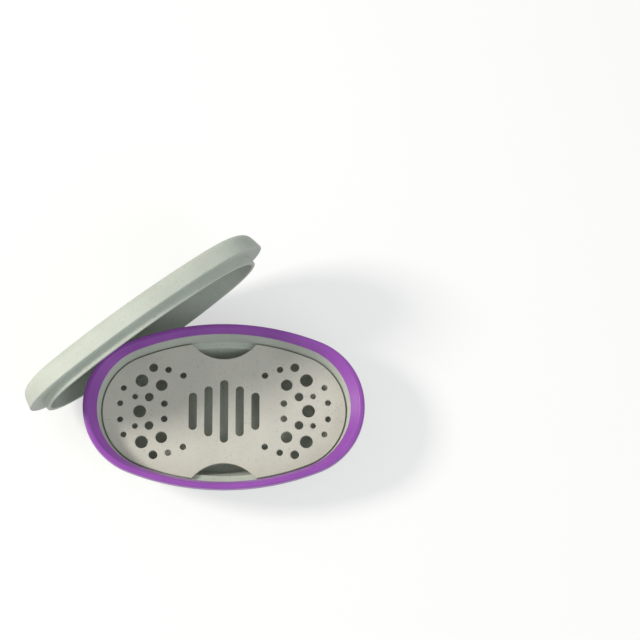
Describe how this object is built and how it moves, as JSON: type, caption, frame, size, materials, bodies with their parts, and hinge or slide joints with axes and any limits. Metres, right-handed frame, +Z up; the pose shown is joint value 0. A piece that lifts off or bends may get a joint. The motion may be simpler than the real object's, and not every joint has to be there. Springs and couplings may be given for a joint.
{
  "type": "travel soap box",
  "caption": "Oval travel soap box with a deep drained base, a soft seal ring, a lift-out drain insert and a press-on lid standing beside it.",
  "frame": {"origin": "centre of the flat foot that the base stands on", "axes": "+Z up, +X along the oval towards the end away from the lid, +Y to the back where the lid stands"},
  "size_m": [0.1423, 0.1043, 0.072],
  "materials": {
    "shell_plastic": "matte, faintly speckled",
    "insert_plastic": "matte, faintly speckled",
    "seal_silicone": "satin"
  },
  "bodies": {
    "base": {"base_shell": "shell_plastic", "seal_ring": "seal_silicone"},
    "insert": {"drain_insert": "insert_plastic"},
    "lid": {"lid": "shell_plastic"}
  },
  "joints": [
    {"name": "insert_lift", "type": "slide", "parent": "base", "child": "insert", "axis": [0, 0, 1], "range_m": [0, 0.03]},
    {"name": "lid_slide", "type": "slide", "parent": "base", "child": "lid", "axis": [-0.5736, 0.8192, 0], "range_m": [0, 0.06]}
  ]
}
